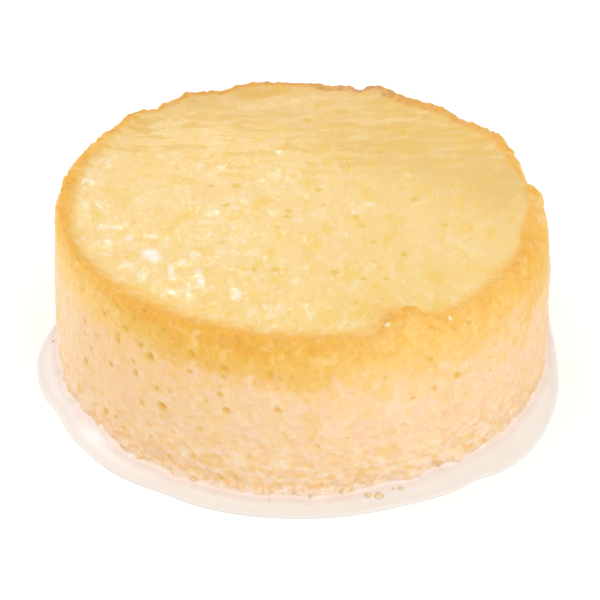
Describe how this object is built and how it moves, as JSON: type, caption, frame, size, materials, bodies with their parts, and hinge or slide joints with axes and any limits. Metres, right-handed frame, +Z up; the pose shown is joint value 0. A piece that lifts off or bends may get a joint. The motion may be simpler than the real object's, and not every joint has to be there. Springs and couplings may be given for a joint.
{
  "type": "tres leches cake",
  "caption": "Small round milk-soaked sponge cake, uncut, with a browned raised rim, a sunken wet top and a shallow pool of milk round its base.",
  "frame": {"origin": "centre of the cake's flat underside, on the surface that the cake stands on", "axes": "+Z up out of the top of the cake, -Y towards the front, where the rim has its tallest crag on the +X side"},
  "size_m": [0.1075, 0.1087, 0.0379],
  "materials": {
    "sponge": "moist open-crumbed sponge, golden brown at the rim and pale yellow and wet on top",
    "milk": "glossy cream-white liquid"
  },
  "bodies": {
    "root": {"sponge_cake": "sponge", "milk_pool": "milk"}
  },
  "joints": []
}
